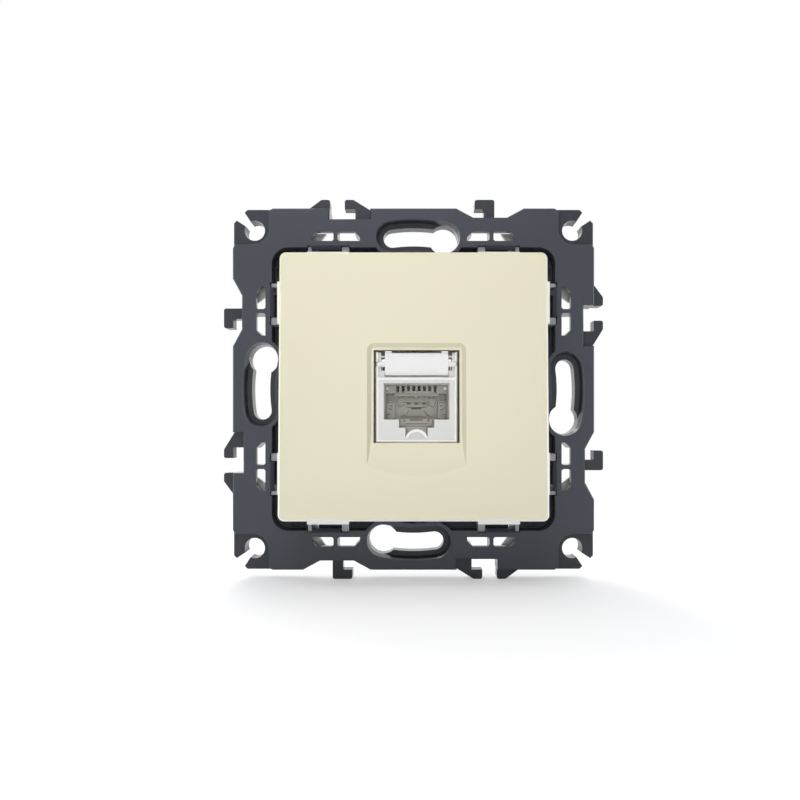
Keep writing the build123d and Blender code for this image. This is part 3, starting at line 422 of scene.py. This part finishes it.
def add_outline(name, points, bead, depth, closed):
    """A fine bead in the port through points (offset, height) in mm, at a depth before its back wall."""
    middle, face_y = insert_face()
    places = [(middle + offset * MM, face_y - depth * MM, height * MM) for offset, height in points]
    outline = add_curve(name, "3D", [places], closed)
    outline.data.bevel_depth = bead * MM
    outline.data.bevel_resolution = BEAD_RESOLUTION
    return outline


def add_panel(name, loops, thickness, depth=0.0):
    """A thin panel in the port, from a depth before its back wall; loops after the first are holes."""
    middle, face_y = insert_face()
    places = [[(offset * MM, height * MM, 0) for offset, height in loop] for loop in loops]
    panel = add_curve(name, "2D", places, True)
    panel.data.fill_mode = "BOTH"
    panel.data.extrude = thickness * MM / 2
    panel.rotation_euler = (radians(90), 0, 0)
    panel.location = (middle, face_y - (depth + thickness / 2) * MM, 0)
    return panel


def on_both_sides(points):
    """The points, and their mirror image across the middle of the port."""
    return points, [(-offset, height) for offset, height in points]


def ring(offset, height, radius):
    """Points round a circle."""
    angles = [radians(360 / RING_STEPS * step) for step in range(RING_STEPS)]
    return [(offset + radius * cos(angle), height + radius * sin(angle)) for angle in angles]


def insert_panel():
    """The pierced panel at the back of the port."""
    pits = [
        [(middle - 0.42, -2.95), (middle + 0.42, -2.95), (middle + 0.22, -2.5), (middle - 0.22, -2.5)]
        for middle in (-1.56, 0.0, 1.56)
    ]
    dash = [(-1.02, -3.9), (1.02, -3.9), (1.02, -3.6), (-1.02, -3.6)]
    slots = on_both_sides([(2.2, -4.95), (2.6, -4.95), (3.1, -5.95), (2.7, -5.95)])
    edge = [(-3.9, -5.98), (3.9, -5.98), (3.9, -0.55), (-3.9, -0.55)]
    return add_panel("insert_panel", [edge, dash, *pits, *slots], PANEL_THICKNESS)


def comb_pieces():
    """The comb's apron, and the bridge over its middle slots."""
    apron = [(-4.2, -1.55), (4.2, -1.55), (4.2, -1.0), (-4.2, -1.0)]
    bridge = [(-2.0, -1.05), (3.05, -1.05), (3.05, -0.62), (-2.0, -0.62)]
    return [
        add_panel("comb_apron", [apron], APRON_THICKNESS, APRON_DEPTH),
        add_panel("comb_bridge", [bridge], BRIDGE_THICKNESS, COMB_DEPTH),
    ]


def insert_painted_shades():
    """Dark sheets in the port as painted shade: behind the panel's holes, and in the hollows of the toe."""
    pit_shade = [(-3.2, -5.96), (3.2, -5.96), (3.2, -2.4), (-3.2, -2.4)]
    band = [(-1.3, -6.2), (1.3, -6.2), (1.3, -5.98), (-1.3, -5.98)]
    shades = [
        add_panel("panel_pit_shade", [pit_shade], PIT_SHADE_THICKNESS),
        add_panel("toe_band", [band], SHADE_THICKNESS, TOE_DEPTH),
    ]
    toe_hollow_shades = on_both_sides([(2.05, -6.35), (2.35, -6.35), (2.65, -5.95), (2.35, -5.95)])
    for side, points in zip(SIDES, toe_hollow_shades):
        shades.append(add_panel(f"toe_hollow_shade_{side}", [points], SHADE_THICKNESS, TOE_DEPTH))
    return shades


def insert_lines():
    """The port's fine raised lines, as name, points, bead, depth and whether they close."""
    sill = [(-2.7, -2.2), (-1.3, -2.35), (1.3, -2.35), (2.7, -2.2)]
    ledge = [(-2.2, -3.15), (-1.3, -3.3), (1.3, -3.3), (2.2, -3.15)]
    toe_foot = [(-2.95, -6.1), (-3.0, -7.05), (3.1, -7.05), (2.95, -6.1)]
    window = [(4.03, -1.65), (2.71, -1.3), (2.27, -2.63), (3.45, -3.24)]
    bracket = [(4.75, -2.9), (5.35, -3.1), (5.3, -3.6), (4.8, -3.75)]
    lines = [
        ("insert_sill", sill, 0.10, PANEL_THICKNESS, False),
        ("insert_ledge", ledge, 0.11, PANEL_THICKNESS, False),
        ("toe_ledge", [(-2.1, -6.6), (2.25, -6.6)], 0.11, TOE_DEPTH, False),
        ("toe_foot", toe_foot, 0.13, TOE_DEPTH, False),
    ]
    mirrored = (
        ("insert_frame", window, 0.13, PANEL_THICKNESS, True),
        ("insert_fan", [(1.5, -3.9), (2.4, -5.1)], 0.12, PANEL_THICKNESS, False),
        ("post_edge", [(4.4, -5.85), (4.4, -2.35), (5.8, -2.35)], 0.14, POST_DEPTH, False),
        ("post_bracket", bracket, 0.11, POST_DEPTH, False),
        ("post_stud", ring(5.5, -4.5, 0.22), 0.2, POST_DEPTH, True),
        ("comb_stud", ring(5.5, -0.15, 0.17), 0.16, COMB_DEPTH, True),
    )
    for name, points, bead, depth, closed in mirrored:
        for side, side_points in zip(SIDES, on_both_sides(points)):
            lines.append((f"{name}_{side}", side_points, bead, depth, closed))
    return lines


def add_painted_shade_line(name, points, bead, depth, closed):
    """A finer dark bead just under a raised line, as painted shade."""
    lowered = [(offset, height - SHADE_LINE_DROP) for offset, height in points]
    return add_outline(f"{name}_painted_shade_line", lowered, SHADE_LINE_BEAD, depth, closed)


def insert_finish(name, colour, shade=0.92, roughness=0.3, grain_height=0.000006, depths=None):
    """Plastic of the contact insert and of the relief in the port."""
    return plastic(
        name, colour, shade=shade, roughness=roughness,
        grain_scale=INSERT_GRAIN, grain_height=grain_height, depths=depths,
    )


def add_insert_relief():
    """The moulded relief in the port; each raised line is painted pale as a highlight and has a dark bead
    under it as painted shade.
    """
    lines = insert_lines()
    painted_shade_lines = [add_painted_shade_line(*line) for line in lines]
    highlight_beads = [add_outline(*line) for line in lines]
    finishes = (
        # The back panel is painted lighter than the comb, as painted light where little light reaches.
        ([insert_panel()], insert_finish("insert_back", (0.74, 0.70, 0.62))),
        (comb_pieces(), insert_finish("insert_comb", (0.40, 0.38, 0.34))),
        # The raised lines' pale colour is a painted highlight on the beads.
        (highlight_beads, insert_finish("insert_highlight_beads", (0.96, 0.93, 0.87), shade=0.97, grain_height=0.000002)),
        (
            # The dark sheets and the lines under the raised ones are painted shade.
            insert_painted_shades() + painted_shade_lines,
            insert_finish(
                "insert_painted_shade", (0.25, 0.23, 0.20), shade=0.9, roughness=0.5, grain_height=0.000004
            ),
        ),
    )
    for pieces, material in finishes:
        for piece in pieces:
            piece.data.materials.append(material)
            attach(piece, "socket")


def frame_plastic():
    """Anthracite with painted shade on the lugs and recess floors behind the front, and smoother side
    walls.
    """
    front = (0.047, 0.052, 0.068)
    recess_painted_shade = (0.028, 0.031, 0.040)
    # The darker stops behind the front are painted shade, not a different plastic.
    depths = [(-4.0, front), (-3.85, front), (-3.1, recess_painted_shade), (-2.0, recess_painted_shade)]
    return plastic(
        "anthracite", front, shade=0.94, roughness=0.6, grain_scale=2600, grain_height=0.00001,
        depths=depths, wall_roughness=0.25,
    )


def carrier_plastic():
    """White, with painted light on each tab and painted shade greying each arm between frame and plate."""
    white = (0.80, 0.80, 0.78)
    # The tab stop is raised as painted light, and the grey arm stop is painted shade on the white plastic.
    tab_painted_light = (0.94, 0.94, 0.92)
    arm_painted_shade = (0.34, 0.34, 0.35)
    depths = [(-6.6, tab_painted_light), (-4.8, tab_painted_light), (-3.6, arm_painted_shade), (-2.0, arm_painted_shade), (-1.0, white)]
    return plastic(
        "carrier_white", white, shade=0.98, roughness=0.45, grain_scale=2000, grain_height=0.000004,
        depths=depths,
    )


def jack_plastic():
    """White, with painted highlights on the raised rims of the face and the half moon, painted shade
    between them, and inner walls painted lighter.
    """
    # The rim stops are painted highlights, the stops between them painted shade, and the wall stop is
    # painted lighter to bounce more light into the port.
    rim = (0.95, 0.95, 0.935)
    field_painted_shade = (0.715, 0.715, 0.69)
    wall = (0.86, 0.86, 0.84)
    depths = [
        (-12.74, rim), (-12.68, rim), (-12.65, field_painted_shade), (-12.56, field_painted_shade),
        (-12.52, rim), (-12.44, rim), (-12.40, field_painted_shade), (-11.0, wall),
    ]
    return plastic(
        "jack_white", rim, shade=0.98, roughness=0.38, grain_scale=2500, grain_height=0.000003,
        depths=depths,
    )


def latch_plastic():
    """White, with the jack's gloss and grain."""
    return plastic(
        "latch_white", (0.84, 0.84, 0.825), shade=0.98, roughness=0.38,
        grain_scale=2500, grain_height=0.000003,
    )


def insert_plastic():
    """Warm grey, darker on the comb and painted lighter further back in the port, as painted light where
    little lamp light reaches.
    """
    comb = (0.39, 0.37, 0.33)
    # The lighter stop further back is painted light, standing in for light that hardly reaches the back of
    # the port.
    back_painted_light = (0.78, 0.74, 0.66)
    depths = [(-7.0, comb), (-5.5, comb), (-4.2, back_painted_light), (-1.0, back_painted_light)]
    return insert_finish("insert_grey", comb, depths=depths)


def ivory_plastic():
    """Satin ivory, with painted shade on the slopes round the jack and a painted highlight on the rim's
    bevel.
    """
    ivory = (0.79, 0.745, 0.555)
    # The darker slope colour is painted shade.
    slopes = (0.66, 0.625, 0.45)
    return plastic(
        "ivory", ivory, shade=0.985, roughness=0.42, grain_scale=3000, grain_height=0.000003,
        coat=0.1, slope_shade=slopes,
    )


def board_laminate():
    """Dark laminate under its solder mask."""
    return plastic(
        "board_dark", (0.014, 0.022, 0.018), shade=0.8, roughness=0.4,
        grain_scale=1500, grain_height=0.000004,
    )


def block_plastic():
    """White, with the carrier's gloss and grain."""
    return plastic(
        "block_white", (0.78, 0.78, 0.76), shade=0.98, roughness=0.45,
        grain_scale=2000, grain_height=0.000004,
    )


def cap_plastic():
    """Pale frosted plastic."""
    return plastic(
        "cap_frosted", (0.66, 0.69, 0.70), shade=0.97, roughness=0.3,
        grain_scale=1800, grain_height=0.000004,
    )


def dress_nodes():
    """Each slot's material goes on every node that the record gives that slot."""
    finishes = {
        "frame_plastic": frame_plastic(),
        "carrier_plastic": carrier_plastic(),
        "ivory_plastic": ivory_plastic(),
        "jack_plastic": jack_plastic(),
        "latch_plastic": latch_plastic(),
        "insert_plastic": insert_plastic(),
        "board_laminate": board_laminate(),
        "block_plastic": block_plastic(),
        "cap_plastic": cap_plastic(),
        "contact_gold": metal("contact_bronze", (0.40, 0.37, 0.31), 0.35),
        "contact_tin": metal("contact_tin", (0.62, 0.62, 0.60), 0.32),
    }
    for entry in frame["record"]["subparts"]:
        node = frame["nodes"][entry["node"]]
        node.data.materials.clear()
        node.data.materials.append(finishes[entry["material_slot"]])


add_camera()
add_world()
add_floor()
for lamp_settings in LAMPS:
    add_lamp(*lamp_settings)
dress_nodes()
add_insert_relief()
